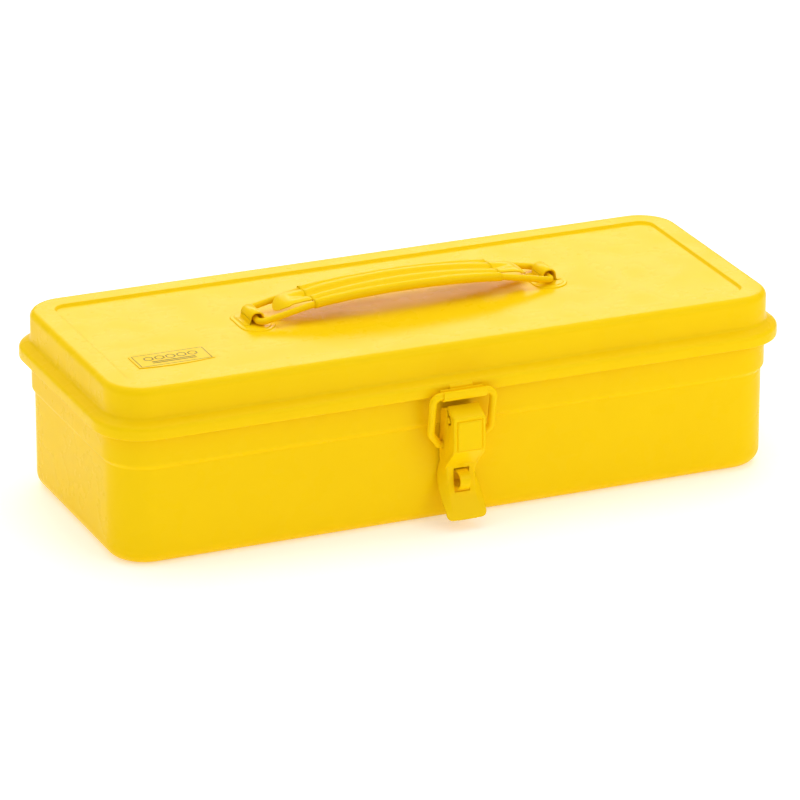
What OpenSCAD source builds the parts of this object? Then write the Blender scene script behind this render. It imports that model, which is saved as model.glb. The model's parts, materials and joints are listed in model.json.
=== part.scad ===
// Trunk-shaped steel toolbox with a lift-out tray.
// Millimetres. The origin is the centre of the underside, +X along the box, -Y is the latch side.

/* [Body] */
// Length of the lower body over its end walls
body_length = 320; // [280:1:420]
// Depth of the lower body over its front and rear walls
body_depth = 124; // [110:1:160]
// Height of the step that carries the tray
ledge_z = 46.3; // [44:0.1:48]
// How far the upper body stands out past the lower body
ledge_step = 1.4; // [1.2:0.1:1.8]
// Height of the curled rim of the body
rim_top = 67.8; // [67:0.1:68]
// Plan radius of the corners of the lower body
body_corner = 18.4; // [16:0.1:24]
// Bend radius between the floor and the walls
floor_bend = 6.8; // [4:0.1:9]
// Thickness of the sheet steel
sheet = 0.8; // [0.6:0.1:0.9]

/* [Lid] */
// Length of the lid over its end walls
lid_length = 322.1; // [282:0.1:422]
// Depth of the lid over its front and rear walls
lid_depth = 127.4; // [113:0.1:163]
// Height of the lid's raised border above the floor
lid_top = 84.55; // [80:0.05:90]
// Plan radius of the corners of the lid
lid_corner = 18.3; // [16:0.1:24]
// How far the skirt stands out past the lid's walls
skirt_step = 5.3; // [5:0.1:6]
// Height of the lower edge of the skirt
skirt_bottom = 62.3; // [61:0.1:63]
// Radius of the lid's upper edge
lid_edge = 3.3; // [2:0.1:5]
// Width of the raised border round the sunk panel
lid_border = 11.1; // [8:0.1:13]
// Depth of the sunk panel
panel_drop = 1.2; // [0.8:0.1:2]

/* [Handle] */
// Height of the crest of the arched grip
grip_top = 97; // [93:0.5:105]
// Radius of the arch of the grip
arch_radius = 300; // [250:10:500]
// Distance from the centre to the tip of the grip
grip_reach = 62; // [56:1:66]
// Distance from the centre to where the wires leave the rolled edges
roll_reach = 46; // [40:1:50]
// Distance from the centre to the tunnel of each bracket
bracket_x = 72; // [70:1:80]
// Diameter of the handle wires
handle_wire_diameter = 3; // [2.4:0.2:4]

/* [Latch] */
// Width of the lever over its side flanges
lever_width = 15.5; // [12:0.5:18]
// Width of the tongue at its free end
tongue_width = 18.6; // [16:0.2:22]
// Diameter of the bail wire
bail_wire_diameter = 3.5; // [3:0.1:4]
// Distance between the centre lines of the bail's legs
bail_span = 29.2; // [28:0.2:34]

/* [Tray] */
// Height of the tray from its floor to its flange
tray_height = 15; // [10:1:28]

/* [Hinges] */
// Distance from the centre of the box to the middle of each hinge
hinge_x = 95; // [60:1:125]
// Width of each hinge
hinge_width = 36; // [30:1:50]

/* [Hidden] */
$fn = 64;
paint = [0.95, 0.78, 0.05];

// Centre lines of the plan corners
body_cx = body_length / 2 - body_corner;
body_cy = body_depth / 2 - body_corner;
upper_corner = body_corner + ledge_step;
lid_cx = lid_length / 2 - lid_corner;
lid_cy = lid_depth / 2 - lid_corner;
front_lower = -body_depth / 2;
rear_upper = body_depth / 2 + ledge_step;

// Curled rim of the body
curl_radius = 1.8;
curl_z = rim_top - curl_radius;

// S-shaped shoulder between the lid's wall and its skirt
shoulder_angle = 25;
shoulder_inner = 1.6;
shoulder_outer = 2.0;
skirt_radius = lid_corner + skirt_step;
shoulder_run = skirt_step - shoulder_inner * (1 - sin(shoulder_angle))
    - shoulder_outer * (1 - sin(shoulder_angle));
skirt_top = skirt_bottom + 3.9;
shoulder_top = skirt_top + (shoulder_inner + shoulder_outer) * cos(shoulder_angle)
    + shoulder_run * tan(shoulder_angle);
overlap = 0.05;
hem = 0.8;
panel_z = lid_top - panel_drop;

// Rear hinges
hinge_y = 71.6;
hinge_z = 61.5;
knuckle_radius = 2.2;
hinge_pin_radius = 1.2;
running_gap = 0.05;
centre_knuckle = 15;
leaf = 0.8;
body_rivet_z = 53;
lid_rivet_z = 76;
body_rivet_dx = 12;
lid_rivet_dx = 8;
rivet_radius = 1.5;
rivet_head = 2.7;
lid_stop_length = 6.8;
lid_stop_angle = -62;

// Latch pivots, as [y, z]
lever_pivot = [-73.7, 52.5];
bail_pivot = [-66.0, 38.5];
crossbar = [-72.5, 64];
lever_sheet = 0.9;
lever_pin_radius = 1.5;
bail_radius = bail_wire_diameter / 2;
ear_inner = 4.8;
ear_outer = 6.0;
latch_plate_sheet = 1.0;
latch_plate_bottom = 14;
latch_plate_top = 45.5;
latch_rivet_z = [32.5, 43];
staple_z = 22.2;
staple_radius = 4.6;
staple_sheet = 1.2;
staple_width = 5;
staple_front = -75.6;

// Tray, hanging by its flange on the ledge
tray_flange_z = 47.6;
tray_flange_corner = body_corner - 0.1;
tray_wall_corner = body_corner - 1.8;
tray_floor_z = tray_flange_z + sheet - tray_height;
tray_bend = 4;

// Handle
wire_radius = handle_wire_diameter / 2;
roll_radius = wire_radius + 0.75;
roll_drop = 2.4;
roll_y = 10;
arch_z = grip_top - arch_radius;
wire_arch_radius = arch_radius - roll_drop;
wire_bend = 3;
wire_inset = 8;
leg_angle = asin(roll_reach / arch_radius);
exit_x = wire_arch_radius * sin(leg_angle);
exit_z = arch_z + wire_arch_radius * cos(leg_angle);
wire_z = exit_z - (bracket_x - exit_x) * tan(leg_angle);
wire_leg = (bracket_x - exit_x) / cos(leg_angle) - wire_bend + wire_inset;
tunnel_radius = wire_radius + 0.8;
tunnel_z = wire_z + 0.5;
hump_radius = tunnel_radius + 0.9;
hump_half_length = 5.8;

// Straight length of wire along +Z, which carries the rest of the wire at its end
module straight(length, wire) {
    cylinder(h = length, r = wire);
    translate([0, 0, length]) children();
}

// Bend in a wire that comes in along +Z and turns towards +X, with the rest of the wire at its end
module elbow(bend, angle, wire) {
    translate([bend, 0, 0]) {
        rotate([90, 0, 0]) rotate([0, 0, 180 - angle])
            rotate_extrude(angle = angle) translate([bend, 0]) circle(wire);
        rotate([0, angle, 0]) translate([-bend, 0, 0]) children();
    }
}

// Part of a ring between two angles less than 120 degrees apart
module arc_strip(outer, thickness, start, end) {
    middle = (start + end) / 2;
    intersection() {
        difference() {
            circle(outer);
            circle(outer - thickness);
        }
        polygon([
            [0, 0],
            3 * outer * [cos(start), sin(start)],
            3 * outer * [cos(middle), sin(middle)],
            3 * outer * [cos(end), sin(end)]
        ]);
    }
}

// Sweeps a profile round a rectangle with round corners.
// The profile's x runs outward from the corner centre lines and its y is the height.
module rounded_ring(half_x, half_y) {
    for (side = [0 : 3]) {
        along = side % 2 == 0 ? half_x : half_y;
        out = side % 2 == 0 ? half_y : half_x;
        rotate([0, 0, 90 * side]) {
            translate([-along, out, 0])
                rotate([90, 0, 90])
                    linear_extrude(2 * along) children();
            translate([along, out, 0])
                rotate_extrude(angle = 90) children();
        }
    }
}

// Flat plate that fills the middle of a rounded ring
module middle_plate(half_x, half_y, z) {
    translate([-half_x, -half_y, z]) cube([2 * half_x, 2 * half_y, sheet]);
}

// Rivet along +Y with its domed head at the far end, through a stack of given thickness
module rivet(stack) {
    tail = 0.4;
    rotate([-90, 0, 0]) {
        translate([0, 0, -stack - tail]) cylinder(h = tail, r = rivet_head - 0.4);
        translate([0, 0, -stack]) cylinder(h = stack, r = rivet_radius - running_gap);
        intersection() {
            translate([0, 0, -2.6]) sphere(r = 3.75);
            cylinder(h = 3, r = rivet_head);
        }
    }
}

// Round hole along Y
module hole_y(x, y, z, radius, depth) {
    translate([x, y, z]) rotate([90, 0, 0]) cylinder(h = depth, r = radius, center = true);
}

module body_profile() {
    upper = upper_corner - sheet;
    shoulder_bottom = ledge_z + 0.3;
    square([body_corner - floor_bend, sheet]);
    translate([body_corner - floor_bend, floor_bend]) arc_strip(floor_bend, sheet, 270, 360);
    translate([body_corner - sheet, floor_bend]) square([sheet, ledge_z - floor_bend]);
    polygon([
        [body_corner - sheet, ledge_z],
        [body_corner, ledge_z],
        [upper_corner, ledge_z + ledge_step],
        [upper_corner, shoulder_bottom + ledge_step],
        [upper, shoulder_bottom + ledge_step],
        [body_corner - sheet, shoulder_bottom]
    ]);
    translate([upper, ledge_z + ledge_step + 0.3])
        square([sheet, curl_z - ledge_z - ledge_step - 0.3]);
    translate([upper + curl_radius, curl_z]) difference() {
        circle(curl_radius);
        circle(curl_radius - sheet);
    }
}

module body_shell() {
    color(paint) difference() {
        union() {
            rounded_ring(body_cx, body_cy) body_profile();
            middle_plate(body_cx, body_cy, 0);
        }
        for (z = latch_rivet_z) hole_y(0, front_lower, z, rivet_radius, 6);
        for (side = [-1, 1], dx = [-1, 1])
            hole_y(side * hinge_x + dx * body_rivet_dx, rear_upper, body_rivet_z, rivet_radius, 6);
    }
}

module latch_base_plate() {
    face = front_lower - latch_plate_sheet;
    color(paint) difference() {
        union() {
            translate([-ear_outer, face, latch_plate_bottom])
                cube([2 * ear_outer, latch_plate_sheet, latch_plate_top - latch_plate_bottom]);
            for (side = [0, 1]) mirror([side, 0, 0]) translate([ear_inner, 0, 0])
                rotate([90, 0, 90]) linear_extrude(ear_outer - ear_inner) union() {
                    translate(lever_pivot) circle(2.6);
                    polygon([
                        [face, 36],
                        [face, latch_plate_top],
                        lever_pivot + 2.6 * [cos(40), sin(40)],
                        lever_pivot + 2.6 * [cos(215), sin(215)]
                    ]);
                }
        }
        translate([-10, lever_pivot[0], lever_pivot[1]])
            rotate([0, 90, 0]) cylinder(h = 20, r = lever_pin_radius + 0.02);
        for (z = latch_rivet_z) hole_y(0, front_lower, z, rivet_radius, 6);
    }
}

module latch_plate_rivets() {
    color(paint) for (z = latch_rivet_z)
        translate([0, front_lower - latch_plate_sheet, z])
            mirror([0, 1, 0]) rivet(latch_plate_sheet + sheet);
}

module padlock_staple() {
    face = front_lower - latch_plate_sheet;
    bend_y = staple_front + staple_radius;
    color(paint) translate([-staple_width / 2, 0, 0])
        rotate([90, 0, 90]) linear_extrude(staple_width) {
            difference() {
                translate([bend_y, staple_z]) circle(staple_radius);
                translate([bend_y, staple_z]) circle(staple_radius - staple_sheet);
                translate([bend_y, staple_z - 10]) square([20, 20]);
            }
            for (side = [-1, 1])
                translate([bend_y, staple_z + side * (staple_radius - staple_sheet / 2) - staple_sheet / 2])
                    square([face - bend_y, staple_sheet]);
        }
}

module latch_pivot_pin() {
    length = lever_width + 1.4;
    color(paint) translate([-length / 2, lever_pivot[0], lever_pivot[1]])
        rotate([0, 90, 0]) cylinder(h = length, r = lever_pin_radius);
}

// Knuckle ring and its strap share the hinge pin's clearance hole
module hinge_hole() {
    translate([-hinge_width, hinge_y, hinge_z])
        rotate([0, 90, 0]) cylinder(h = 2 * hinge_width, r = hinge_pin_radius + running_gap);
}

module hinge_body_leaf() {
    end_knuckle = (hinge_width - centre_knuckle) / 2 - 0.3;
    bottom = 49;
    color(paint) difference() {
        union() {
            translate([-hinge_width / 2, rear_upper, bottom])
                cube([hinge_width, leaf, hinge_z - knuckle_radius - bottom]);
            for (side = [0, 1]) mirror([side, 0, 0])
                translate([hinge_width / 2 - end_knuckle, 0, 0]) {
                    translate([0, rear_upper, hinge_z - knuckle_radius])
                        cube([end_knuckle, hinge_y - rear_upper, leaf]);
                    translate([0, hinge_y, hinge_z])
                        rotate([0, 90, 0]) cylinder(h = end_knuckle, r = knuckle_radius);
                }
        }
        hinge_hole();
        for (side = [-1, 1])
            hole_y(side * body_rivet_dx, rear_upper, body_rivet_z, rivet_radius, 6);
    }
}

module hinge_lid_leaf() {
    skirt_y = lid_cy + skirt_radius;
    wall_y = lid_depth / 2;
    gap = 0.1;
    upper_width = 24;
    color(paint) difference() {
        union() {
            translate([-centre_knuckle / 2, hinge_y, hinge_z])
                rotate([0, 90, 0]) cylinder(h = centre_knuckle, r = knuckle_radius);
            translate([-centre_knuckle / 2, 0, 0]) rotate([90, 0, 90])
                linear_extrude(centre_knuckle) polygon([
                    [skirt_y + gap, hinge_z],
                    [skirt_y + gap, skirt_top + 0.4],
                    [skirt_y - 0.7, skirt_top + 2.1],
                    [wall_y + 1.2, shoulder_top - 1.0],
                    [wall_y + gap, shoulder_top + 0.3],
                    [wall_y + gap, lid_rivet_z + 4],
                    [wall_y + gap + leaf, lid_rivet_z + 4],
                    [wall_y + gap + leaf, shoulder_top + 0.7],
                    [wall_y + 1.6, shoulder_top - 0.2],
                    [skirt_y - 0.1, skirt_top + 2.9],
                    [skirt_y + gap + leaf, skirt_top + 0.8],
                    [skirt_y + gap + leaf, hinge_z]
                ]);
            translate([-upper_width / 2, wall_y + gap, shoulder_top + 1])
                cube([upper_width, leaf, lid_rivet_z + 4 - shoulder_top - 1]);
            translate([0, hinge_y, hinge_z]) rotate([lid_stop_angle, 0, 0])
                translate([-centre_knuckle / 2 + 1, 0, -leaf / 2])
                    cube([centre_knuckle - 2, lid_stop_length, leaf]);
        }
        hinge_hole();
        for (side = [-1, 1])
            hole_y(side * lid_rivet_dx, wall_y, lid_rivet_z, rivet_radius, 6);
    }
}

module hinge_pin() {
    length = hinge_width + 1;
    head = 1.8;
    color("silver") translate([0, hinge_y, hinge_z]) rotate([0, 90, 0]) {
        translate([0, 0, -length / 2]) cylinder(h = length, r = hinge_pin_radius);
        for (side = [-1, 1])
            translate([0, 0, side * (length / 2 + 0.3)]) cylinder(h = 0.6, r = head, center = true);
    }
}

module left_hinge_body_leaf() {
    translate([-hinge_x, 0, 0]) hinge_body_leaf();
}

module right_hinge_body_leaf() {
    translate([hinge_x, 0, 0]) hinge_body_leaf();
}

module left_hinge_lid_leaf() {
    translate([-hinge_x, 0, 0]) hinge_lid_leaf();
}

module right_hinge_lid_leaf() {
    translate([hinge_x, 0, 0]) hinge_lid_leaf();
}

module left_hinge_pin() {
    translate([-hinge_x, 0, 0]) hinge_pin();
}

module right_hinge_pin() {
    translate([hinge_x, 0, 0]) hinge_pin();
}

module hinge_body_rivets() {
    color(paint) for (side = [-1, 1], dx = [-1, 1])
        translate([side * hinge_x + dx * body_rivet_dx, rear_upper + leaf, body_rivet_z])
            rivet(leaf + sheet);
}

module hinge_lid_rivets() {
    color(paint) for (side = [-1, 1], dx = [-1, 1])
        translate([side * hinge_x + dx * lid_rivet_dx, lid_depth / 2 + 0.1 + leaf, lid_rivet_z])
            rivet(leaf + sheet + 0.1);
}

module lid_profile() {
    border_inner = lid_corner - lid_border;
    riser = 1.3;
    square_top = lid_top - lid_edge;
    translate([0, panel_z - sheet]) square([border_inner - riser, sheet]);
    polygon([
        [border_inner - riser, panel_z - sheet],
        [border_inner - riser, panel_z],
        [border_inner, lid_top],
        [border_inner + 0.3, lid_top],
        [border_inner + 0.3, lid_top - sheet]
    ]);
    translate([border_inner, lid_top - sheet]) square([lid_corner - lid_edge - border_inner, sheet]);
    translate([lid_corner - lid_edge, square_top]) arc_strip(lid_edge, sheet, 0, 90);
    translate([lid_corner - sheet, shoulder_top]) square([sheet, square_top - shoulder_top]);
    translate([lid_corner + shoulder_inner, shoulder_top])
        arc_strip(shoulder_inner + sheet, sheet, 180, 270 - shoulder_angle);
    translate([skirt_radius - shoulder_outer, skirt_top]
        + shoulder_outer * [sin(shoulder_angle), cos(shoulder_angle)])
        rotate(-shoulder_angle)
            translate([-shoulder_run / cos(shoulder_angle) - overlap, -sheet])
                square([shoulder_run / cos(shoulder_angle) + 2 * overlap, sheet]);
    translate([skirt_radius - shoulder_outer, skirt_top])
        arc_strip(shoulder_outer, sheet, 0, 90 - shoulder_angle);
    translate([skirt_radius - sheet, skirt_bottom + hem]) square([sheet, skirt_top - skirt_bottom - hem]);
    translate([skirt_radius - 2 * hem, skirt_bottom + hem]) square([hem, 2]);
    translate([skirt_radius - hem, skirt_bottom + hem]) circle(hem);
}

module lid_shell() {
    color(paint) difference() {
        union() {
            rounded_ring(lid_cx, lid_cy) lid_profile();
            middle_plate(lid_cx, lid_cy, panel_z - sheet);
        }
        for (side = [-1, 1], dx = [-1, 1])
            hole_y(side * hinge_x + dx * lid_rivet_dx, lid_depth / 2, lid_rivet_z, rivet_radius, 6);
    }
}

module handle_bracket() {
    base = 0.9;
    half_length = 14;
    half_width = 8.5;
    color(paint) difference() {
        union() {
            translate([0, 0, panel_z]) linear_extrude(base) union() {
                square([2 * half_width, 2 * (half_length - half_width)], center = true);
                for (side = [-1, 1])
                    translate([0, side * (half_length - half_width)]) circle(half_width);
            }
            translate([0, 0, tunnel_z]) rotate([90, 0, 0])
                cylinder(h = 2 * hump_half_length, r = hump_radius, center = true);
            translate([-hump_radius, -hump_half_length, panel_z])
                cube([2 * hump_radius, 2 * hump_half_length, tunnel_z - panel_z]);
        }
        translate([0, 0, tunnel_z]) rotate([90, 0, 0])
            cylinder(h = 4 * hump_half_length, r = tunnel_radius, center = true);
    }
}

module left_handle_bracket() {
    translate([-bracket_x, 0, 0]) handle_bracket();
}

module right_handle_bracket() {
    translate([bracket_x, 0, 0]) handle_bracket();
}

module lid_catch() {
    face = -(lid_cy + skirt_radius);
    plate = 1;
    half_neck = 5.6;
    half_head = 10.4;
    seat_top = crossbar[1] - bail_radius - 0.35;
    seat_front = crossbar[0] - 1.4;
    color(paint) union() {
        translate([-half_neck, face - plate, seat_top]) cube([2 * half_neck, plate, 5.6]);
        translate([-half_head, face - plate, seat_top - plate])
            cube([2 * half_head, plate, 3.6]);
        translate([-half_head, seat_front, seat_top - plate])
            cube([2 * half_head, face - seat_front, plate]);
    }
}

// Flat plate with bowed long edges
module label_plate() {
    length = 36;
    depth = 14.4;
    bow = 1.6;
    bow_radius = (length * length / 4 + bow * bow) / (2 * bow);
    color(paint) translate([-121.7, -28, panel_z]) linear_extrude(0.4) intersection() {
        square([length, depth + 4 * bow], center = true);
        translate([0, depth / 2 + bow - bow_radius]) circle(bow_radius, $fn = 128);
        translate([0, bow_radius - depth / 2 - bow]) circle(bow_radius, $fn = 128);
    }
}

module tray_profile() {
    square([tray_wall_corner - tray_bend, sheet]);
    translate([tray_wall_corner - tray_bend, tray_bend]) arc_strip(tray_bend, sheet, 270, 360);
    translate([tray_wall_corner - sheet, tray_bend]) square([sheet, tray_height - tray_bend]);
    translate([tray_wall_corner - sheet, tray_height - sheet])
        square([tray_flange_corner - tray_wall_corner + sheet, sheet]);
}

module tray() {
    color(paint) translate([0, 0, tray_floor_z]) union() {
        rounded_ring(body_cx, body_cy) tray_profile();
        middle_plate(body_cx, body_cy, 0);
    }
}

// Side view of the lever's pressed front, from its top edge to the tip of the tongue, as [y, z]
lever_front = [
    [-72.5, 58.3], [-79.2, 54.9], [-79.9, 53.9], [-79.9, 38.9], [-79.3, 37.8],
    [-71.2, 29.6], [-70.2, 27.6], [-70.0, 24], [-70.5, 19.5], [-72.3, 14.5], [-78.1, 5.8]
];

// Points of the same line moved inward by the sheet's thickness
function unit(v) = v / norm(v);
function normal(v) = [-v[1], v[0]];
function inset(path, distance) = [
    for (i = [0 : len(path) - 1])
        let (before = normal(unit(i > 0 ? path[i] - path[i - 1] : path[1] - path[0])))
        let (after = normal(unit(i < len(path) - 1 ? path[i + 1] - path[i] : path[i] - path[i - 1])))
        path[i] + distance * (before + after) / (1 + before * after)
];

module lever_sheet_profile() {
    back = inset(lever_front, lever_sheet);
    last = len(back) - 1;
    polygon(concat(lever_front, [for (i = [0 : last]) back[last - i]]));
}

// Front view of the lever
module lever_outline() {
    half = lever_width / 2;
    tip = tongue_width / 2;
    corner = 2;
    waist = half - 0.8;
    polygon([
        [-half, 60], [-half, 31], [-waist, 26], [-waist, 21], [-tip, 7.6], [-tip, 7.5],
        [-tip + corner, 5], [tip - corner, 5], [tip, 7.5], [tip, 7.6],
        [waist, 21], [waist, 26], [half, 31], [half, 60]
    ]);
}

module lever_flange() {
    half = lever_width / 2;
    translate([half - lever_sheet, 0, 0]) rotate([90, 0, 90]) linear_extrude(lever_sheet)
        difference() {
            union() {
                polygon([
                    [-72.5, 58.3], [-79.2, 54.9], [-79.9, 53.9], [-79.9, 38.9], [-79.3, 37.8],
                    [-71.2, 29.6], [-70.2, 27.6], [-66.5, 27.6], [-63.4, 31.5], [-64.3, 36],
                    [-64.3, 55.2]
                ]);
                translate(bail_pivot) circle(2.8);
            }
            translate(lever_pivot) circle(lever_pin_radius + 0.06);
            translate(bail_pivot) circle(bail_radius + 0.06);
        }
}

module latch_lever() {
    half = lever_width / 2;
    slot_half = 3.8;
    slot_bottom = 16.5;
    slot_top = 27.9;
    panel_half = 6.4;
    color(paint) difference() {
        union() {
            intersection() {
                translate([-30, 0, 0]) rotate([90, 0, 90]) linear_extrude(60) lever_sheet_profile();
                rotate([90, 0, 0]) linear_extrude(100) lever_outline();
            }
            lever_flange();
            mirror([1, 0, 0]) lever_flange();
            translate([-panel_half, -80.3, 39.6]) cube([2 * panel_half, 0.5, 13.6]);
        }
        translate([-slot_half, -90, slot_bottom])
            cube([2 * slot_half, 23.5, slot_top - slot_bottom]);
    }
}

module latch_bail() {
    half = bail_span / 2;
    stub_end = 6.4;
    corner = 3.4;
    joint = bail_radius + 0.05;
    knee_z = bail_pivot[1] + bail_pivot[0] - crossbar[0];
    shin = (knee_z - bail_pivot[1]) * sqrt(2);
    color(paint) for (side = [0, 1]) mirror([side, 0, 0]) {
        translate([0, crossbar[0], crossbar[1]]) rotate([0, 90, 0])
            straight(half - corner, bail_radius)
            elbow(corner, 90, bail_radius)
            straight(crossbar[1] - corner - knee_z, bail_radius);
        translate([half, crossbar[0], knee_z]) {
            sphere(joint);
            rotate([-135, 0, 0]) cylinder(h = shin, r = bail_radius);
        }
        translate([half, bail_pivot[0], bail_pivot[1]]) sphere(joint);
        translate([stub_end, bail_pivot[0], bail_pivot[1]])
            rotate([0, 90, 0]) cylinder(h = half - stub_end, r = bail_radius);
    }
}

// Sweeps a profile, drawn as [radius, y], along the arch out to a given distance each way
module arch_sweep(reach_from, reach_to) {
    start = asin(reach_from / arch_radius);
    end = asin(reach_to / arch_radius);
    translate([0, 0, arch_z]) rotate([90, 0, 0]) rotate([0, 0, 90 - end])
        rotate_extrude(angle = end - start) children();
}

// Top sheet of the grip: two ridges with a groove between them
module grip_section() {
    ridge_y = 5.2;
    ridge = 3.0;
    thickness = 0.9;
    for (side = [-1, 1]) {
        translate([arch_radius - ridge, side * ridge_y]) difference() {
            circle(ridge);
            circle(ridge - thickness);
            translate([-10 - 1.6, -10]) square([10, 20]);
        }
    }
    translate([arch_radius - 1.9, -2.8]) square([thickness, 5.6]);
}

module handle_grip() {
    nose_radius = 9;
    color(paint) union() {
        intersection() {
            arch_sweep(-grip_reach - 4, grip_reach + 4) grip_section();
            linear_extrude(120) union() {
                square([2 * (grip_reach - nose_radius), 24], center = true);
                for (side = [-1, 1])
                    translate([side * (grip_reach - nose_radius), 0]) circle(nose_radius);
            }
        }
        arch_sweep(-roll_reach, roll_reach) for (side = [-1, 1])
            translate([arch_radius - roll_drop, side * roll_y]) difference() {
                circle(roll_radius);
                circle(wire_radius + 0.25);
            }
    }
}

module handle_wire() {
    color(paint) translate([bracket_x, 0, wire_z]) rotate([0, leg_angle, 0])
        for (side = [0, 1]) mirror([0, side, 0])
            translate([-wire_bend - wire_leg, -roll_y, 0]) rotate([0, 90, 0])
                straight(wire_leg, wire_radius)
                rotate([0, 0, 90]) elbow(wire_bend, 90, wire_radius)
                straight(roll_y - wire_bend, wire_radius);
}

module right_handle_wire() {
    handle_wire();
}

module left_handle_wire() {
    mirror([1, 0, 0]) handle_wire();
}

body_shell();
latch_base_plate();
latch_plate_rivets();
padlock_staple();
latch_pivot_pin();
left_hinge_body_leaf();
right_hinge_body_leaf();
left_hinge_pin();
right_hinge_pin();
hinge_body_rivets();
lid_shell();
left_handle_bracket();
right_handle_bracket();
lid_catch();
label_plate();
left_hinge_lid_leaf();
right_hinge_lid_leaf();
hinge_lid_rivets();
tray();
latch_lever();
latch_bail();
handle_grip();
left_handle_wire();
right_handle_wire();
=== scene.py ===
# Looks for the steel toolbox with a lift-out tray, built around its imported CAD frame.
import json
import math

import bmesh
import bpy
from mathutils import Matrix, Vector


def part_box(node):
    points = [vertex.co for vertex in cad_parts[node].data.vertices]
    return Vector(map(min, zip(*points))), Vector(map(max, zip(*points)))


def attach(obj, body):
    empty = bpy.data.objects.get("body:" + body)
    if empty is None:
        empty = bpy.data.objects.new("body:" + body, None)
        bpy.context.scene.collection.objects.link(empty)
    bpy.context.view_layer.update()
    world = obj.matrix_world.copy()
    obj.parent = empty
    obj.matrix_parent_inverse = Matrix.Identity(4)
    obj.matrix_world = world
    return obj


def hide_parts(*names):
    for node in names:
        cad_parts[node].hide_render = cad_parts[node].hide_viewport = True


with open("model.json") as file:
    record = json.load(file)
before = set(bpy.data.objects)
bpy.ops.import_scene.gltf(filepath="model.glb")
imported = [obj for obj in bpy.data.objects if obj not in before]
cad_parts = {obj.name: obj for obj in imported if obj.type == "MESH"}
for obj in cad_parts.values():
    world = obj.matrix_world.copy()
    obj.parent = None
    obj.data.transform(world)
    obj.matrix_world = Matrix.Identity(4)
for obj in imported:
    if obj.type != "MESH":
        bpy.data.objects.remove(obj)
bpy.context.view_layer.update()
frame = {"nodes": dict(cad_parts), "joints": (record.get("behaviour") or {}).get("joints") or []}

MM = 0.001
SHEET = 0.8 * MM


# ---------------------------------------------------------------- places, all from the frame
def joint(name):
    return next(j for j in frame["joints"] if j["name"] == name)


shell_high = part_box("body_shell")[1]
lid_low, lid_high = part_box("lid_shell")
tray_low, tray_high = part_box("tray")
grip_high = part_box("handle_grip")[1]
bail_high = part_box("latch_bail")[1]
LEVER_PIVOT = Vector(joint("lever_swing")["pos_m"])
BAIL_PIVOT = Vector(joint("bail_swing")["pos_m"])

BODY_CORNER = 18.4 * MM
BODY_STEP = 1.4 * MM
CURL = 1.8 * MM
LID_CORNER = 18.3 * MM
SKIRT_STEP = 5.3 * MM
PANEL_DROP = 1.2 * MM
LEDGE_Z = 46.3 * MM

# Distances from the middle to the centre lines of the plan corners
curl_reach = BODY_CORNER + BODY_STEP - SHEET + 2 * CURL
BODY_CX = shell_high.x - curl_reach
BODY_CY = shell_high.y - curl_reach
LID_CX = lid_high.x - LID_CORNER - SKIRT_STEP
LID_CY = lid_high.y - LID_CORNER - SKIRT_STEP
LID_TOP = lid_high.z
PANEL_Z = LID_TOP - PANEL_DROP
SKIRT_LOW = lid_low.z
SKIRT_FACE = lid_low.y
RIM_TOP = shell_high.z


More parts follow.
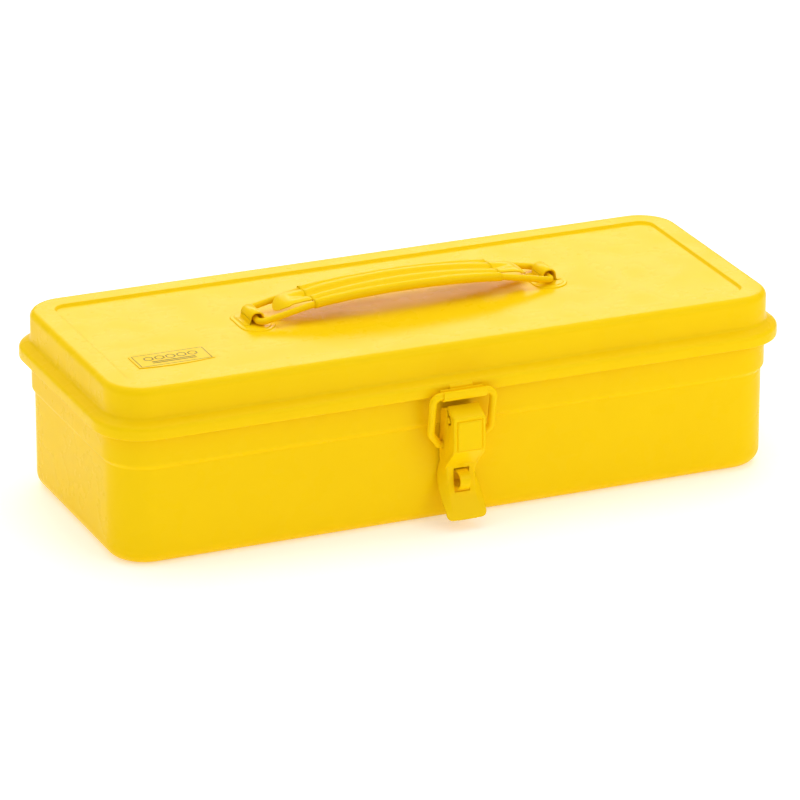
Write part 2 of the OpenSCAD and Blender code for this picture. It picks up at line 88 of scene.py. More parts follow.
# ---------------------------------------------------------------- materials
def enamel(name, colour, deep, roughness=0.27, peel=1.0):
    """Baked enamel on pressed steel: orange peel, cloudy gloss, fine rubbed marks and a clear skin."""
    mat = bpy.data.materials.new(name)
    mat.use_nodes = True
    tree = mat.node_tree
    shader = tree.nodes["Principled BSDF"]
    coords = tree.nodes.new("ShaderNodeTexCoord")

    def noise(scale, detail, rough=0.5, stretch=None):
        node = tree.nodes.new("ShaderNodeTexNoise")
        node.inputs["Scale"].default_value = scale
        node.inputs["Detail"].default_value = detail
        node.inputs["Roughness"].default_value = rough
        source = coords.outputs["Object"]
        if stretch:
            mapping = tree.nodes.new("ShaderNodeMapping")
            mapping.inputs["Scale"].default_value = stretch
            tree.links.new(source, mapping.inputs["Vector"])
            source = mapping.outputs["Vector"]
        tree.links.new(source, node.inputs["Vector"])
        return node.outputs["Fac"]

    def ramp(value, low, high, out_low, out_high):
        node = tree.nodes.new("ShaderNodeMapRange")
        node.inputs["From Min"].default_value = low
        node.inputs["From Max"].default_value = high
        node.inputs["To Min"].default_value = out_low
        node.inputs["To Max"].default_value = out_high
        tree.links.new(value, node.inputs["Value"])
        return node.outputs["Result"]

    cloud = noise(22, 3)
    fleck = noise(1400, 2)
    mix = tree.nodes.new("ShaderNodeMix")
    mix.data_type = "RGBA"
    mix.inputs[6].default_value = (*colour, 1)
    mix.inputs[7].default_value = (*deep, 1)
    tone = tree.nodes.new("ShaderNodeMath")
    tone.operation = "ADD"
    tree.links.new(ramp(cloud, 0.35, 0.7, 0.0, 0.3), tone.inputs[0])
    tree.links.new(ramp(fleck, 0.45, 0.75, 0.0, 0.2), tone.inputs[1])
    tree.links.new(tone.outputs[0], mix.inputs[0])
    tree.links.new(mix.outputs[2], shader.inputs["Base Color"])

    rubbed = noise(260, 4, 0.6, (0.25, 1.0, 1.0))
    gloss = tree.nodes.new("ShaderNodeMath")
    gloss.operation = "ADD"
    tree.links.new(ramp(noise(60, 4), 0.3, 0.7, roughness - 0.04, roughness + 0.06), gloss.inputs[0])
    tree.links.new(ramp(rubbed, 0.55, 0.8, 0.0, 0.06), gloss.inputs[1])
    tree.links.new(gloss.outputs[0], shader.inputs["Roughness"])

    orange_peel = tree.nodes.new("ShaderNodeBump")
    orange_peel.inputs["Strength"].default_value = 0.05 * peel
    orange_peel.inputs["Distance"].default_value = 0.00012
    tree.links.new(noise(620, 2, 0.4), orange_peel.inputs["Height"])
    waves = tree.nodes.new("ShaderNodeBump")
    waves.inputs["Strength"].default_value = 0.04 * peel
    waves.inputs["Distance"].default_value = 0.0012
    tree.links.new(noise(28, 1, 0.3), waves.inputs["Height"])
    tree.links.new(orange_peel.outputs["Normal"], waves.inputs["Normal"])
    tree.links.new(waves.outputs["Normal"], shader.inputs["Normal"])

    shader.inputs["IOR"].default_value = 1.12
    shader.inputs["Coat Weight"].default_value = 0.02
    shader.inputs["Coat Roughness"].default_value = 0.15
    return mat


def plated(name):
    """Plated steel wire: bright grey with drawn lines along X and small dull spots."""
    mat = enamel(name, (0.62, 0.62, 0.60), (0.40, 0.40, 0.38), 0.3, 0.6)
    shader = mat.node_tree.nodes["Principled BSDF"]
    shader.inputs["Metallic"].default_value = 1.0
    shader.inputs["Coat Weight"].default_value = 0.0
    return mat


YELLOW = (1.0, 0.665, 0.003)
DEEP_YELLOW = (0.97, 0.62, 0.002)
paint = enamel("yellow_enamel", YELLOW, DEEP_YELLOW)
small_paint = enamel("yellow_enamel_small_parts", YELLOW, DEEP_YELLOW, 0.22, 0.8)
tray_paint = enamel("yellow_enamel_tray", YELLOW, DEEP_YELLOW, 0.32)
label_paint = enamel("label_enamel", YELLOW, DEEP_YELLOW, 0.3, 0.5)
ink = enamel("label_ink", (0.13, 0.09, 0.004), (0.09, 0.06, 0.003), 0.4)
steel = plated("plated_steel")


# ---------------------------------------------------------------- outlines
def fillet(points, step=6.0):
    """A polyline through points (a, b, radius) with each corner rounded by an arc of its radius."""
    out = []
    for i, (a, b, radius) in enumerate(points):
        here = Vector((a, b))
        if radius <= 0 or i in (0, len(points) - 1):
            out.append(here)
            continue
        back = (Vector(points[i - 1][:2]) - here).normalized()
        ahead = (Vector(points[i + 1][:2]) - here).normalized()
        corner = back.angle(ahead)
        turn = math.pi - corner
        centre = here + (back + ahead).normalized() * (radius / math.sin(corner / 2))
        start = here + back * (radius / math.tan(corner / 2)) - centre
        side = 1 if back.x * ahead.y - back.y * ahead.x < 0 else -1
        steps = max(2, math.ceil(math.degrees(turn) / step))
        for k in range(steps + 1):
            out.append(centre + Matrix.Rotation(side * turn * k / steps, 2) @ start)
    return out


def arc(centre, radius, start, end, steps):
    """Points of a circular arc, angles in degrees."""
    angles = [math.radians(start + (end - start) * k / steps) for k in range(steps + 1)]
    return [Vector((centre[0] + radius * math.cos(t), centre[1] + radius * math.sin(t))) for t in angles]


def beside(path, distance):
    """The polyline moved to its right by a distance."""
    out = []
    for i, here in enumerate(path):
        before = (here - path[i - 1]).normalized() if i else (path[1] - here).normalized()
        after = (path[i + 1] - here).normalized() if i < len(path) - 1 else before
        a = Vector((before.y, -before.x))
        b = Vector((after.y, -after.x))
        out.append(here + (a + b) * distance / (1 + a.dot(b)))
    return out


# ---------------------------------------------------------------- mesh builders
def finish_mesh(name, bm, material, sharp=34.0, closed=True):
    if closed:
        bmesh.ops.recalc_face_normals(bm, faces=bm.faces)
    mesh = bpy.data.meshes.new(name)
    bm.to_mesh(mesh)
    bm.free()
    mesh.shade_smooth()
    mesh.set_sharp_from_angle(angle=math.radians(sharp))
    mesh.materials.append(material)
    obj = bpy.data.objects.new(name, mesh)
    bpy.context.scene.collection.objects.link(obj)
    return obj


def stations(cx, cy, corner_steps=18, side_steps=24):
    """Places round a rectangle with round corners: a point on the centre line and the way outward."""
    out = []
    corners = [(cx, cy, 0), (-cx, cy, 90), (-cx, -cy, 180), (cx, -cy, 270)]
    for i, (x, y, start) in enumerate(corners):
        for k in range(corner_steps + 1):
            t = math.radians(start + 90 * k / corner_steps)
            out.append((Vector((x, y)), Vector((math.cos(t), math.sin(t)))))
        nx, ny, _ = corners[(i + 1) % 4]
        t = math.radians(start + 90)
        for k in range(1, side_steps):
            f = k / side_steps
            out.append((Vector((x, y)).lerp(Vector((nx, ny)), f), Vector((math.cos(t), math.sin(t)))))
    return out


def ring_shell(name, outer, inner, cx, cy, material, crown=0.0):
    """Pressed sheet swept round a rounded rectangle, closed in the middle.
    outer and inner are the two faces of the sheet from the middle outward, as (out, z)."""
    bm = bmesh.new()
    loop = list(outer) + list(reversed(inner))
    rows = []
    for centre, way in stations(cx, cy):
        rows.append([bm.verts.new((*(centre + way * p.x), p.y)) for p in loop])
    count = len(loop)
    for i, row in enumerate(rows):
        after = rows[(i + 1) % len(rows)]
        for k in range(count - 1):
            bm.faces.new((row[k], row[k + 1], after[k + 1], after[k]))
    for edge_of in (0, count - 1):
        rim = [row[edge_of] for row in rows]
        z = rim[0].co.z
        previous = rim
        shrink = (0.93, 0.8, 0.6, 0.4, 0.2, 0.06)
        for s in shrink:
            ring = []
            for v in rim:
                ring.append(bm.verts.new((v.co.x * s, v.co.y * s, z + crown * (1 - s * s))))
            for i in range(len(ring)):
                j = (i + 1) % len(ring)
                bm.faces.new((previous[i], previous[j], ring[j], ring[i]))
            previous = ring
        bm.faces.new(previous)
    return finish_mesh(name, bm, material)


def tube(name, path, radius, material, sides=28):
    """Round wire along a list of points, with its ends closed."""
    bm = bmesh.new()
    rings = []
    normal = None
    for i, here in enumerate(path):
        before = (here - path[i - 1]).normalized() if i else (path[1] - here).normalized()
        after = (path[i + 1] - here).normalized() if i < len(path) - 1 else before
        way = (before + after).normalized()
        if normal is None:
            normal = way.orthogonal().normalized()
        normal = (normal - way * normal.dot(way)).normalized()
        across = way.cross(normal)
        ring = []
        for k in range(sides):
            t = 2 * math.pi * k / sides
            ring.append(bm.verts.new(here + (normal * math.cos(t) + across * math.sin(t)) * radius))
        rings.append(ring)
    for a, b in zip(rings, rings[1:]):
        for k in range(sides):
            bm.faces.new((a[k], a[(k + 1) % sides], b[(k + 1) % sides], b[k]))
    for ring in (rings[0], rings[-1]):
        bm.faces.new(ring)
    return finish_mesh(name, bm, material)


def bent(points, step=7.0):
    """A polyline in space through points (place, radius) with each bend rounded."""
    out = []
    for i, (here, radius) in enumerate(points):
        if radius <= 0 or i in (0, len(points) - 1):
            out.append(here)
            continue
        back = (points[i - 1][0] - here).normalized()
        ahead = (points[i + 1][0] - here).normalized()
        corner = back.angle(ahead)
        turn = math.pi - corner
        middle = (back + ahead).normalized()
        centre = here + middle * (radius / math.sin(corner / 2))
        axis = ahead.cross(back).normalized()
        start = here + back * (radius / math.tan(corner / 2)) - centre
        steps = max(3, math.ceil(math.degrees(turn) / step))
        for k in range(steps + 1):
            out.append(centre + Matrix.Rotation(turn * k / steps, 3, axis) @ start)
    return out


def grid_sheet(name, rows, thickness, material, outward, sharp=34.0):
    """A pressed sheet through a grid of points, thickened away from its outward side."""
    bm = bmesh.new()
    verts = [[bm.verts.new(p) for p in row] for row in rows]
    for i in range(len(rows) - 1):
        for k in range(len(rows[0]) - 1):
            bm.faces.new((verts[i][k], verts[i][k + 1], verts[i + 1][k + 1], verts[i + 1][k]))
    bm.normal_update()
    facing = sum((f.normal * f.calc_area() for f in bm.faces), Vector()).dot(Vector(outward))
    if facing < 0:
        bmesh.ops.reverse_faces(bm, faces=bm.faces)
    obj = finish_mesh(name, bm, material, sharp, closed=False)
    solid = obj.modifiers.new("thickness", "SOLIDIFY")
    solid.thickness = thickness
    solid.offset = -1
    solid.use_even_offset = True
    return obj


def bevelled_copy(node, name, width, material, segments=3):
    """The CAD node's own shape with its edges rounded."""
    source = frame["nodes"][node]
    bm = bmesh.new()
    bm.from_mesh(source.data)
    bmesh.ops.remove_doubles(bm, verts=bm.verts, dist=0.002 * MM)
    bmesh.ops.dissolve_limit(bm, angle_limit=math.radians(0.5), verts=bm.verts, edges=bm.edges)
    obj = finish_mesh(name, bm, material, 30)
    soften(obj, width, segments, 40).harden_normals = True
    return obj


def soften(obj, width, segments=2, angle=50):
    """Rounds an object's sharp edges by a width in metres."""
    bevel = obj.modifiers.new("edges", "BEVEL")
    bevel.width = width
    bevel.segments = segments
    bevel.limit_method = "ANGLE"
    bevel.angle_limit = math.radians(angle)
    return bevel


def box_at(name, low, high):
    """A plain box between two corners in millimetres, for cutting."""
    bm = bmesh.new()
    bmesh.ops.create_cube(bm, size=1)
    low, high = Vector(low) * MM, Vector(high) * MM
    for v in bm.verts:
        v.co = Vector(a + (b - a) * (c + 0.5) for a, b, c in zip(low, high, v.co))
    return finish_mesh(name, bm, small_paint)


def rod_at(name, centre, radius, length=40 * MM):
    """A plain rod along X, for cutting."""
    bm = bmesh.new()
    turn = Matrix.Translation(centre) @ Matrix.Rotation(math.radians(90), 4, "Y")
    bmesh.ops.create_cone(
        bm, cap_ends=True, segments=48, radius1=radius, radius2=radius, depth=length, matrix=turn)
    return finish_mesh(name, bm, small_paint)


def cut(obj, cutter):
    """Takes the cutter's volume out of an object for good."""
    hole = obj.modifiers.new("hole", "BOOLEAN")
    hole.object = cutter
    hole.operation = "DIFFERENCE"
    hole.solver = "EXACT"
    bpy.context.view_layer.update()
    shape = obj.evaluated_get(bpy.context.evaluated_depsgraph_get())
    mesh = bpy.data.meshes.new_from_object(shape)
    obj.modifiers.clear()
    obj.data = mesh
    bpy.data.objects.remove(cutter)


def place(piece, body, slot, *nodes):
    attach(piece, body)
    if nodes:
        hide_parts(*nodes)
    return piece


# ---------------------------------------------------------------- camera, floor and light
CAMERA_AZIMUTH = math.radians(-23.07)
CAMERA_ELEVATION = math.radians(21.30)
CAMERA_DISTANCE = 2.597
CAMERA_AIM = Vector((-0.00405, 0, 0.03472))
CAMERA_SENSOR, CAMERA_LENS = 36, 255.5
CAMERA_SHIFT = (0.0105, 0.0016)
CAMERA_REACH = 50
# Sky strength at the horizon and overhead, and how high the fade ends
SKY_LOW, SKY_HIGH, SKY_FADE = 0.12, 0.8, 0.8
FLOOR_SIZE, FLOOR_Z = 40, -0.0002
FLOOR_WHITE, FLOOR_GLOW = 0.93, 0.3
# Softboxes as (name, place, aim, size, watts)
SOFTBOXES = (
    ("top_softbox", (0.1, 0.25, 1.3), (0, 0, 0.05), (1.6, 1.2), 6),
    ("front_softbox", (0.45, -0.85, 0.5), (0.03, 0, 0.05), (0.7, 0.5), 1.75),
    ("rear_softbox", (0.75, 1.9, 0.95), (0, 0, 0.08), (1.8, 0.5), 11),
    ("left_softbox", (-1.5, 0.35, 0.6), (0, 0, 0.05), (0.8, 0.9), 2.4),
)


def camera():
    data = bpy.data.cameras.new("camera")
    data.sensor_width = CAMERA_SENSOR
    data.lens = CAMERA_LENS
    data.shift_x, data.shift_y = CAMERA_SHIFT
    data.clip_end = CAMERA_REACH
    cam = bpy.data.objects.new("camera", data)
    back = Vector((
        math.sin(CAMERA_AZIMUTH) * math.cos(CAMERA_ELEVATION),
        -math.cos(CAMERA_AZIMUTH) * math.cos(CAMERA_ELEVATION),
        math.sin(CAMERA_ELEVATION),
    ))
    cam.location = CAMERA_AIM + back * CAMERA_DISTANCE
    cam.rotation_mode = "QUATERNION"
    cam.rotation_quaternion = back.to_track_quat("Z", "Y")
    bpy.context.scene.collection.objects.link(cam)
    bpy.context.scene.camera = cam


def area_light(name, place_at, aim, size, power):
    data = bpy.data.lights.new(name, "AREA")
    data.shape = "RECTANGLE"
    data.size, data.size_y = size
    data.energy = power
    obj = bpy.data.objects.new(name, data)
    obj.location = place_at
    way = Vector(aim) - Vector(place_at)
    obj.rotation_mode = "QUATERNION"
    obj.rotation_quaternion = way.to_track_quat("-Z", "Y")
    bpy.context.scene.collection.objects.link(obj)


def studio():
    world = bpy.data.worlds.new("studio")
    world.use_nodes = True
    tree = world.node_tree
    tree.nodes["Background"].inputs["Color"].default_value = (1, 1, 1, 1)
    coords = tree.nodes.new("ShaderNodeTexCoord")
    split = tree.nodes.new("ShaderNodeSeparateXYZ")
    fade = tree.nodes.new("ShaderNodeMapRange")
    fade.inputs["From Min"].default_value = 0.0
    fade.inputs["From Max"].default_value = SKY_FADE
    fade.inputs["To Min"].default_value = SKY_LOW
    fade.inputs["To Max"].default_value = SKY_HIGH
    tree.links.new(coords.outputs["Generated"], split.inputs["Vector"])
    tree.links.new(split.outputs["Z"], fade.inputs["Value"])
    tree.links.new(fade.outputs["Result"], tree.nodes["Background"].inputs["Strength"])
    bpy.context.scene.world = world
    bpy.ops.mesh.primitive_plane_add(size=FLOOR_SIZE, location=(0, 0, FLOOR_Z))
    floor = bpy.context.object
    floor.name = "studio_floor"
    mat = bpy.data.materials.new("studio_floor")
    mat.use_nodes = True
    shader = mat.node_tree.nodes["Principled BSDF"]
    shader.inputs["Base Color"].default_value = (FLOOR_WHITE, FLOOR_WHITE, FLOOR_WHITE, 1)
    shader.inputs["Roughness"].default_value = 0.6
    shader.inputs["Specular IOR Level"].default_value = 0.0
    shader.inputs["Emission Color"].default_value = (1, 1, 1, 1)
    shader.inputs["Emission Strength"].default_value = FLOOR_GLOW
    floor.data.materials.append(mat)
    for softbox in SOFTBOXES:
        area_light(*softbox)
    scene = bpy.context.scene
    scene.view_settings.view_transform = "Standard"


camera()
studio()


# ---------------------------------------------------------------- body and tray
def points(*values):
    """Outline points given in millimetres as (out, z, radius)."""
    return [(a * MM, b * MM, r * MM) for a, b, r in values]


def body_shell():
    wall = (BODY_CORNER - SHEET) / MM
    upper = wall + BODY_STEP / MM
    ledge = LEDGE_Z / MM
    curl_centre = (upper * MM + CURL, RIM_TOP - CURL)
    inner = fillet(points((6, 0.8, 0), (wall, 0.8, 6.0), (wall, ledge + 0.1, 1.1), (upper, ledge + 2.0, 1.1),
                          (upper, 60, 0)))
    inner += arc(curl_centre, CURL, 180, -175, 44)
    outer = beside(inner, SHEET)
    shell = ring_shell("body_shell_pressed", outer, inner, BODY_CX, BODY_CY, paint)
    place(shell, "body", "yellow_paint", "body_shell")


def tray():
    wall = (tray_high.x - BODY_CX) / MM - 1.7
    top = tray_high.z / MM
    bottom = tray_low.z / MM
    outer = fillet(points(
        (5, bottom, 0), (wall, bottom, 4), (wall, top - 0.9, 0.35), (wall + 1.7, top - 0.9, 0)))
    inner = [Vector(p) for p in beside(outer, -SHEET)]
    piece = ring_shell("tray_pressed", outer, inner, BODY_CX, BODY_CY, tray_paint)
    place(piece, "tray", "tray_paint", "tray")


# ---------------------------------------------------------------- lid
def lid_shell():
    wall = LID_CORNER / MM
    skirt = wall + SKIRT_STEP / MM
    top = LID_TOP / MM
    low = SKIRT_LOW / MM
    border = wall - 11.1
    panel = PANEL_Z / MM
    slope = 25.0
    hem = 0.95
    shoulder_low = low + 5.6
    shoulder_high = shoulder_low + (skirt - wall) * math.tan(math.radians(slope))
    outer = fillet(points(
        (3, panel, 0), (border - 1.3, panel, 0.45), (border - 0.2, top, 0.45), (wall, top, 3.3),
        (wall, shoulder_high, 1.9), (skirt, shoulder_low, 2.2), (skirt, low + hem, 0)), 5)
    outer += arc(((skirt - hem) * MM, (low + hem) * MM), hem * MM, 0, -180, 12)[1:]
    outer += [Vector(((skirt - 2 * hem) * MM, (low + hem + 2.2) * MM))]
    inner = beside(outer, SHEET)
    shell = ring_shell("lid_shell_pressed", outer, inner, LID_CX, LID_CY, paint, 0.25 * MM)
    place(shell, "lid", "yellow_paint", "lid_shell")


# ---------------------------------------------------------------- handle
ARCH_RADIUS = 300 * MM
NOSE_RADIUS = 8.4 * MM
NOSE_START = grip_high.x - NOSE_RADIUS
ROLL_REACH = 46 * MM
ROLL_DROP = 3.1 * MM
ROLL_RISE = 1.15 * MM
WIRE_X = 72 * MM
WIRE_Y = 9.6 * MM
WIRE_RADIUS = 1.5 * MM
WIRE_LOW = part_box("left_handle_wire")[0].z + WIRE_RADIUS - 0.8 * MM
WIRE_HIGH = WIRE_LOW + 5.2 * MM
# Half section of the grip from its groove to its hem, as (out, drop) in millimetres
GRIP_TOP = ((0, -1.7), (0.7, -1.65), (1.3, -1.45), (1.9, -1.0), (2.5, -0.5), (3.1, -0.18), (3.8, -0.03),
            (4.5, 0.0), (5.2, -0.06), (5.9, -0.26), (6.5, -0.55), (7.0, -0.9), (7.4, -1.25))
GRIP_ROLL = 2.1 * MM
GRIP_SHEET = 0.5 * MM


def crown(x):
    """Height of the handle's crown at a distance from its middle; it flattens towards the noses."""
    x = abs(x)
    near = min(x, ROLL_REACH)
    far = max(0, x - ROLL_REACH)
    return grip_high.z + math.sqrt(ARCH_RADIUS ** 2 - near * near) - ARCH_RADIUS - 0.07 * far


def grip_middle():
    """Middle of the grip: two ridges and a groove, with its sides rolled round the wires."""
    top = [Vector(p) * MM for p in GRIP_TOP[:-1]]
    rows = []
    for i in range(61):
        x = ROLL_REACH * (i / 30 - 1)
        centre = Vector((WIRE_Y, ROLL_RISE * (x / ROLL_REACH) ** 2 - ROLL_DROP))
        half = top + arc(centre, GRIP_ROLL, 128, -175, 30)
        section = [Vector((-q.x, q.y)) for q in reversed(half)] + half[1:]
        rows.append([Vector((x, p.x, crown(x) + p.y)) for p in section])
    return grid_sheet("handle_grip_middle", rows, GRIP_SHEET, small_paint, (0, 0, 1), 50)


def nose_drop(x, y):
    """Drop of a nose below the crown line: the ridges run out and the tip turns down."""
    fade = max(0.0, 1 - max(0.0, x - ROLL_REACH) / (9 * MM))
    out = abs(y) if x < NOSE_START else math.hypot(x - NOSE_START, y)
    profile = [Vector(p) * MM for p in GRIP_TOP]
    drop = profile[-1].y - (out - profile[-1].x)
    for p, q in zip(profile, profile[1:]):
        if out <= q.x:
            drop = p.y + (q.y - p.y) * (out - p.x) / (q.x - p.x)
            break
    drop *= fade if out < 4.5 * MM else 0.4
    tip = (x - NOSE_START) / NOSE_RADIUS
    return drop - 3.6 * MM * max(0.0, tip) ** 2.5


def grip_nose(side, name):
    steps = 26
    rows = []
    for i in range(steps + 1):
        if i <= 6:
            x = ROLL_REACH + (NOSE_START - ROLL_REACH) * i / 6
            half = NOSE_RADIUS
        else:
            turn = 0.5 * math.pi * (i - 6) / (steps - 6) * 0.97
            x = NOSE_START + NOSE_RADIUS * math.sin(turn)
            half = NOSE_RADIUS * math.cos(turn)
        half = min(half, 7.4 * MM + 0.3 * MM * i / steps)
        row = []
        for k in range(41):
            y = half * (k / 20 - 1)
            row.append(Vector((side * x, y, crown(x) + nose_drop(x, y))))
        rows.append(row)
    return grid_sheet(f"handle_grip_{name}_nose", rows, GRIP_SHEET, small_paint, (0, 0, 1), 50)


def handle_bracket(name):
    """Oval pad with a pressed rim, and a strap humped over the wire's crossbar."""
    low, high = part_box(f"{name}_handle_bracket")
    centre = (low + high) / 2
    long_half = (high.y - low.y) / 2
    edge = (high.x - low.x) / 2
    rim = edge / MM
    outer = fillet(points((1, 1.0, 0), (rim - 2.3, 1.0, 0.6), (rim - 1.9, 0.7, 0.6), (rim - 0.5, 0.7, 0.5),
                          (rim, 0.0, 0)))
    inner = fillet(points((1, 0.0, 0), (rim, 0.0, 0)))
    pad = ring_shell(f"{name}_handle_bracket_pad", outer, inner, 0, long_half - edge, small_paint)
    pad.data.transform(Matrix.Translation((centre.x, centre.y, PANEL_Z + 0.02 * MM)))
    place(pad, "lid", "yellow_paint", f"{name}_handle_bracket")
    foot = 0.55
    strap_path = fillet(points((-6.0, foot, 0), (-3.1, foot, 1.1), (-2.7, 3.6, 0.6), (-2.6, 5.9, 2.3),
                               (2.6, 5.9, 2.3), (2.7, 3.6, 0.6), (3.1, foot, 1.1), (6.0, foot, 0)))
    rows = [
        [Vector((centre.x + p.x, centre.y + y * MM, PANEL_Z + p.y)) for p in strap_path]
        for y in (-5.8, 5.8)
    ]
    strap = grid_sheet(f"{name}_handle_bracket_strap", rows, SHEET, small_paint, (0, 0, -1))
    soften(strap, 0.2 * MM)
    place(strap, "lid", "yellow_paint")


def handle_grip():
    place(grip_middle(), "handle", "yellow_paint", "handle_grip")
    place(grip_nose(-1, "left"), "handle", "yellow_paint")
    place(grip_nose(1, "right"), "handle", "yellow_paint")


def handle_wire(side, name):
    """Wire staple: two legs out of the rolled sides and a crossbar through the bracket."""
    slope = (WIRE_HIGH - WIRE_LOW) / (WIRE_X - ROLL_REACH)
    inner = ROLL_REACH - 5 * MM
    top = WIRE_HIGH + 0.6 * slope * 5 * MM
    path = bent([
        (Vector((side * inner, -WIRE_Y, top)), 0),
        (Vector((side * ROLL_REACH, -WIRE_Y, WIRE_HIGH)), 60 * MM),
        (Vector((side * WIRE_X, -WIRE_Y, WIRE_LOW)), 3.4 * MM),
        (Vector((side * WIRE_X, WIRE_Y, WIRE_LOW)), 3.4 * MM),
        (Vector((side * ROLL_REACH, WIRE_Y, WIRE_HIGH)), 60 * MM),
        (Vector((side * inner, WIRE_Y, top)), 0),
    ])
    wire = tube(f"{name}_smooth", path, WIRE_RADIUS, small_paint)
    place(wire, "handle", "yellow_paint", name)


# ---------------------------------------------------------------- latch
BAR = Vector((-72.5 * MM, bail_high.z - 1.75 * MM))
LEVER_SHEET = 0.9 * MM
LEVER_BEND = 1.1
LEVER_RAISE = 0.35
LEVER_GROOVE = 0.45
# Half width, foot and head of the embossed panel, in millimetres
PANEL_HALF, PANEL_FOOT, PANEL_HEAD = 5.7, 39.6, 52.9
TONGUE_HALF = 9.5
TONGUE_CORNER = 3.0
# The lever's front face from its roof to its tip, as (y, z, bend radius) in millimetres
LEVER_LINE = (
    (-71.9, 58.6, 0), (-79.6, 54.7, 1.6), (-79.9, 39.0, 2.2), (-70.6, 29.4, 3.5), (-70.0, 23.5, 9),
    (-71.6, 15.6, 14), (-78.1, 5.6, 0),
)
# Half width of the front, width of the flange and its fold in degrees, by height in millimetres
LEVER_SECTIONS = (
    (31.0, 7.75, 1.2, 90), (30.9, 7.75, 7.6, 90), (28.5, 7.6, 7.6, 90), (26.5, 7.2, 7.5, 82),
    (24, 6.7, 7.2, 70),
    (20, 6.35, 5.8, 52), (16, 6.4, 4.4, 33), (12.5, 6.6, 3.4, 14), (9, 6.6, 3.0, 2), (5, 6.6, 3.0, 2),
)
FLANGE_OUTLINE = (
    (-71.6, 57.9), (-78.8, 54.2), (-79.2, 53.4), (-79.2, 39.2), (-78.9, 37.9), (-70.9, 29.5), (-69.9, 28.0),
    (-63.6, 28.0), (-63.4, 31), (-63.2, 34.5), (-63.3, 42), (-64.0, 44.5), (-64.2, 53.5), (-65.6, 55.6),
)


def latch_bail():
    """Wire loop: crossbar in the hook, legs bent back and inward at the knees to the lever's pivot."""
    radius = 1.75 * MM
    half = bail_high.x - radius
    bar_y = BAR.x
    bar_z = BAR.y
    knee = bar_z - 18.6 * MM
    foot = 9.2 * MM
    stub = 6.2 * MM
    corners = []
    for side in (-1, 1):
        leg = [
            (Vector((side * stub, BAIL_PIVOT.y, BAIL_PIVOT.z)), 0),
            (Vector((side * foot, BAIL_PIVOT.y, BAIL_PIVOT.z)), 1.4 * MM),
            (Vector((side * half, bar_y + 3.2 * MM, knee)), 3.0 * MM),
            (Vector((side * half, bar_y, bar_z)), 3.6 * MM),
        ]
        corners += leg if side < 0 else reversed(leg)
    bail = tube("latch_bail_wire", bent(corners), radius, small_paint)
    place(bail, "latch_bail", "yellow_paint", "latch_bail")


def plate_between(name, path, half, thickness, outward, bevel=0.15):
    """A bent strip of sheet: a path in (y, z) drawn out along X."""
    rows = [[Vector((x, p.x, p.y)) for p in path] for x in (-half, half)]
    obj = grid_sheet(name, rows, thickness, small_paint, outward)
    soften(obj, bevel * MM)
    return obj


def lid_catch():
    """Hook on the skirt: a narrow tab widens, passes under the crossbar and turns up before it."""
    face = SKIRT_FACE - 0.9 * MM
    bend = face - BAR.x
    hook_path = [Vector((face, 66.0 * MM))] + arc(BAR, bend, 0, -180, 24)
    hook_path += [Vector((BAR.x - bend, BAR.y + 2.0 * MM)), Vector((BAR.x - bend * 0.97, BAR.y + 2.6 * MM))]
    hook = plate_between("lid_catch_hook", hook_path, 10.4 * MM, SHEET, (0, 0, -1))
    tab_path = [
        Vector((SKIRT_FACE + 1.2 * MM, 68.4 * MM)),
        Vector((face, 66.8 * MM)),
        Vector((face, 64.8 * MM)),
    ]
    tab = plate_between("lid_catch_tab", tab_path, 5.6 * MM, SHEET, (0, -1, 0))
    place(hook, "lid", "yellow_paint", "lid_catch")
    place(tab, "lid", "yellow_paint")


def smooth(low, high, value):
    """0 below low, 1 above high, an S-curve between."""
    t = min(1.0, max(0.0, (value - low) / (high - low)))
    return t * t * (3 - 2 * t)


def between(table, value):
    """Values of a table (key, ...) with falling keys, read in straight lines between its rows."""
    if value >= table[0][0]:
        return table[0][1:]
    for p, q in zip(table, table[1:]):
        if value >= q[0]:
            t = (p[0] - value) / (p[0] - q[0])
            return tuple(u + (v - u) * t for u, v in zip(p[1:], q[1:]))
    return table[-1][1:]


def lever_stations():
    """Places down the lever's front with their outward ways, from the roof to the tip of the tongue."""
    line = fillet([(y * MM, z * MM, r * MM) for y, z, r in LEVER_LINE], 5)
    path = []
    for here, after in zip(line, line[1:]):
        steps = max(1, round((after - here).length / (0.25 * MM)))
        path += [here.lerp(after, k / steps) for k in range(steps)]
    path.append(line[-1])
    out = []
    for i, here in enumerate(path):
        way = (path[min(i + 1, len(path) - 1)] - path[max(i - 1, 0)]).normalized()
        out.append((here, Vector((way.y, -way.x))))
    return out


def lever_row(here, normal, section, narrow):
    """One row across the lever: flat front, bend and flange on each side."""
    front, reach, fold = section
    fold = math.radians(fold)
    taken = LEVER_BEND * fold / math.radians(90)
    flat = front - taken
    half = [(flat * k / 44, 0.0) for k in range(45)]
    for k in range(1, 7):
        t = fold * k / 6
        half.append((flat + LEVER_BEND * math.sin(t), -LEVER_BEND * (1 - math.cos(t))))
    corner = half[-1]
    for k in range(1, 11):
        far = (reach - taken) * k / 10
        half.append((corner[0] + far * math.cos(fold), corner[1] - far * math.sin(fold)))
    height = here.y / MM
    row = []
    for side, part in ((-1, list(reversed(half))), (1, half[1:])):
        for across, out in part:
            inside = min(PANEL_HALF - across, height - PANEL_FOOT, PANEL_HEAD - height)
            raised = LEVER_RAISE * smooth(-0.1, 0.25, inside)
            groove = LEVER_GROOVE * smooth(-0.85, -0.35, inside) * (1 - smooth(-0.35, 0.0, inside))
            at = here + normal * (out + raised - groove) * MM
            row.append(Vector((side * across * narrow * MM, at.x, at.y)))
    return row


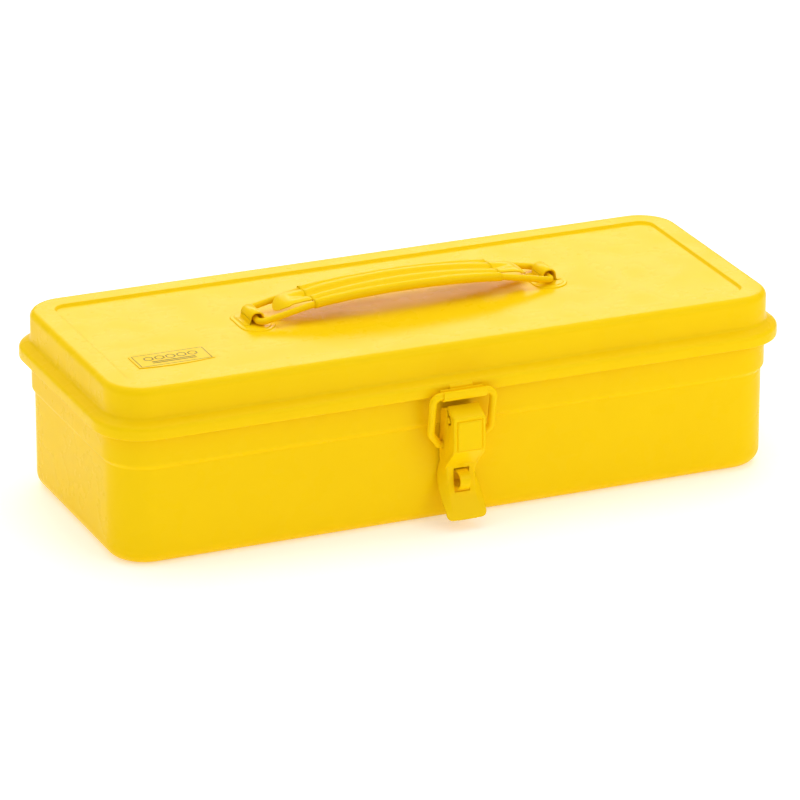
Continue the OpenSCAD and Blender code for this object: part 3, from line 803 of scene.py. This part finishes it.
def lever_front():
    """Front of the lever: a roof and a face with a raised panel, then flanges that open into the tongue."""
    stations_here = lever_stations()
    tip = stations_here[-1][0]
    rows = []
    for here, normal in stations_here:
        left = (here - tip).length / MM
        near = max(0.0, 1 - left / TONGUE_CORNER)
        narrow = 1 - TONGUE_CORNER * (1 - math.sqrt(1 - near * near)) / TONGUE_HALF
        rows.append(lever_row(here, normal, between(LEVER_SECTIONS, here.y / MM), narrow))
    front = grid_sheet("latch_lever_front", rows, LEVER_SHEET, small_paint, (0, -1, 0), 40)
    slot = box_at("slot_cutter", (-3.8, -90, 16.4), (3.8, -60, 27.6))
    cut(front, slot)
    return front


def lever_flange(side, name):
    """Side of the lever: a plate with a hole for the bail and an open hole round the pivot pin."""
    outline = [Vector((y * MM, z * MM, 0)) for y, z in FLANGE_OUTLINE]
    bm = bmesh.new()
    x = side * 7.75 * MM
    verts = [bm.verts.new((x, p.x, p.y)) for p in outline]
    face = bm.faces.new(verts)
    bmesh.ops.recalc_face_normals(bm, faces=[face])
    made = bmesh.ops.extrude_face_region(bm, geom=[face])
    moved = [v for v in made["geom"] if isinstance(v, bmesh.types.BMVert)]
    bmesh.ops.translate(bm, verts=moved, vec=Vector((-side * LEVER_SHEET, 0, 0)))
    plate = finish_mesh(f"latch_lever_{name}_flange", bm, small_paint, 30)
    cut(plate, rod_at("pin_cutter", LEVER_PIVOT, 2.4 * MM))
    gap = box_at("gap_cutter", (-10, -0.85, 0.4), (10, 0.85, 8))
    gap.location = LEVER_PIVOT
    gap.rotation_euler = (math.radians(-22), 0, 0)
    cut(plate, gap)
    cut(plate, rod_at("bail_cutter", BAIL_PIVOT, 2.0 * MM))
    soften(plate, 0.22 * MM)
    return plate


def latch_lever():
    place(lever_front(), "latch_lever", "yellow_paint", "latch_lever")
    place(lever_flange(-1, "left"), "latch_lever", "yellow_paint")
    place(lever_flange(1, "right"), "latch_lever", "yellow_paint")
    pin = rod_at("latch_pivot_pin_round", LEVER_PIVOT, 1.4 * MM, 15.9 * MM)
    place(pin, "body", "yellow_paint", "latch_pivot_pin")


def small_parts():
    """Parts whose shape is right already: the same shape with its edges rounded."""
    for node, body, width in (
        ("latch_base_plate", "body", 0.25), ("latch_plate_rivets", "body", 0.15),
        ("padlock_staple", "body", 0.25),
        ("left_hinge_body_leaf", "body", 0.2), ("right_hinge_body_leaf", "body", 0.2),
        ("hinge_body_rivets", "body", 0.15),
        ("left_hinge_lid_leaf", "lid", 0.2), ("right_hinge_lid_leaf", "lid", 0.2),
        ("hinge_lid_rivets", "lid", 0.15),
    ):
        copy = bevelled_copy(node, f"{node}_bevelled", width * MM, small_paint)
        place(copy, body, "yellow_paint", node)
    for side in ("left", "right"):
        pin = bevelled_copy(f"{side}_hinge_pin", f"{side}_hinge_pin_bevelled", 0.3 * MM, steel)
        place(pin, "body", "plated_steel", f"{side}_hinge_pin")


# ---------------------------------------------------------------- label
def label_plate():
    """Thin plate with a printed border, a row of plain hexagons and two rules: no words, no mark."""
    plate = bevelled_copy("label_plate", "label_plate_bevelled", 0.1 * MM, label_paint)
    place(plate, "lid", "label_paint", "label_plate")
    low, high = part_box("label_plate")
    centre = (low + high) / 2
    half_x = (high.x - low.x) / 2 - 1.4 * MM
    half_y = (high.y - low.y) / 2 - 2.0 * MM
    bm = bmesh.new()

    def stroke(a, b, width):
        a, b = Vector((*a, 0)), Vector((*b, 0))
        across = (b - a).normalized().cross(Vector((0, 0, 1))) * width / 2
        bm.faces.new([bm.verts.new(p) for p in (a - across, b - across, b + across, a + across)])

    def loop(corners, width):
        for a, b in zip(corners, corners[1:] + corners[:1]):
            stroke(a, b, width)

    loop([(-half_x, -half_y), (half_x, -half_y), (half_x, half_y), (-half_x, half_y)], 0.36 * MM)
    for k in range(-2, 3):
        ring = [Vector((k * 5.2 * MM, 1.7 * MM)) + arc((0, 0), 2.2 * MM, 30, 330, 5)[j] for j in range(6)]
        loop([tuple(p) for p in ring], 0.5 * MM)
    for y in (-2.3 * MM, -3.9 * MM):
        stroke((-half_x * 0.62, y), (half_x * 0.62, y), 0.7 * MM)
    for v in bm.verts:
        v.co += Vector((centre.x, centre.y, high.z + 0.02 * MM))
    print_lines = finish_mesh("label_print", bm, ink)
    place(print_lines, "lid", "label_paint")


body_shell()
tray()
lid_shell()
handle_grip()
handle_wire(-1, "left_handle_wire")
handle_wire(1, "right_handle_wire")
handle_bracket("left")
handle_bracket("right")
latch_bail()
lid_catch()
latch_lever()
small_parts()
label_plate()
